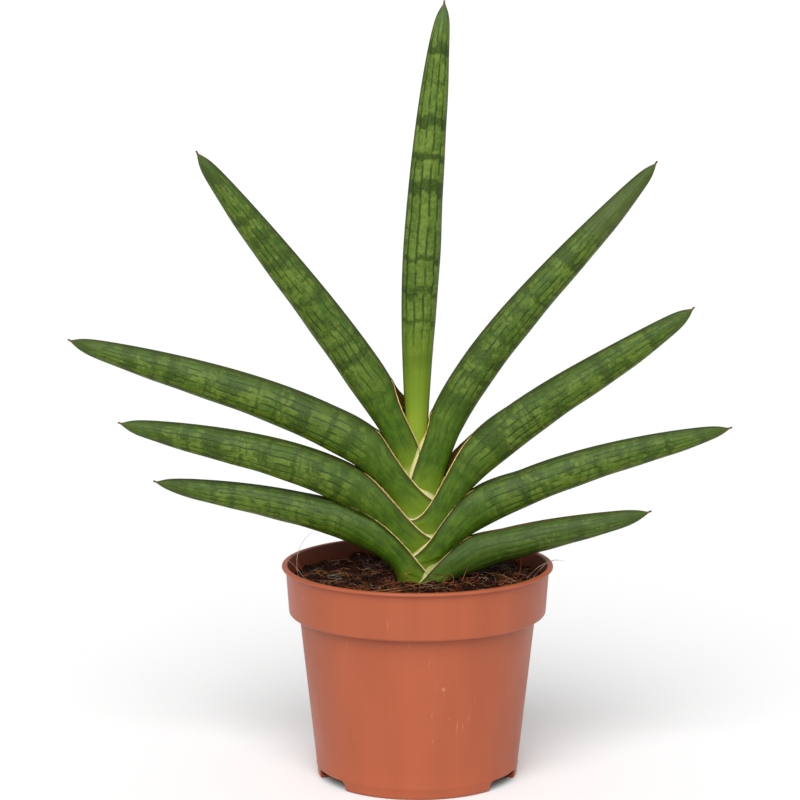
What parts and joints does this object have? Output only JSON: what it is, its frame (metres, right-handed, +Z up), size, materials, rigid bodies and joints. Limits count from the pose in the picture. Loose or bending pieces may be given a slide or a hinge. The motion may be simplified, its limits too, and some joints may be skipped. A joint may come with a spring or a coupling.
{
  "type": "potted snake plant",
  "caption": "Young snake plant with thick pointed leaves spread in a flat fan, in a tapered plastic nursery pot with a wide collar, filled with growing mix.",
  "frame": {"origin": "on the pot's axis, on the flat underside that the pot stands on", "axes": "+Z up along the pot's axis, +X across the fan of leaves towards the lowest right leaf, and the fan's broad face looks along -Y"},
  "size_m": [0.2935, 0.12, 0.3416],
  "materials": {
    "terracotta_plastic": "matte",
    "peat_brown": "matte",
    "crown_pale": "satin",
    "leaf_green": "satin"
  },
  "bodies": {
    "root": {"pot": "terracotta_plastic", "growing_mix": "peat_brown", "crown": "crown_pale", "leaf_centre": "leaf_green", "leaf_left_1": "leaf_green", "leaf_right_1": "leaf_green", "leaf_left_2": "leaf_green", "leaf_right_2": "leaf_green", "leaf_left_3": "leaf_green", "leaf_right_3": "leaf_green", "leaf_left_4": "leaf_green", "leaf_right_4": "leaf_green"}
  },
  "joints": []
}
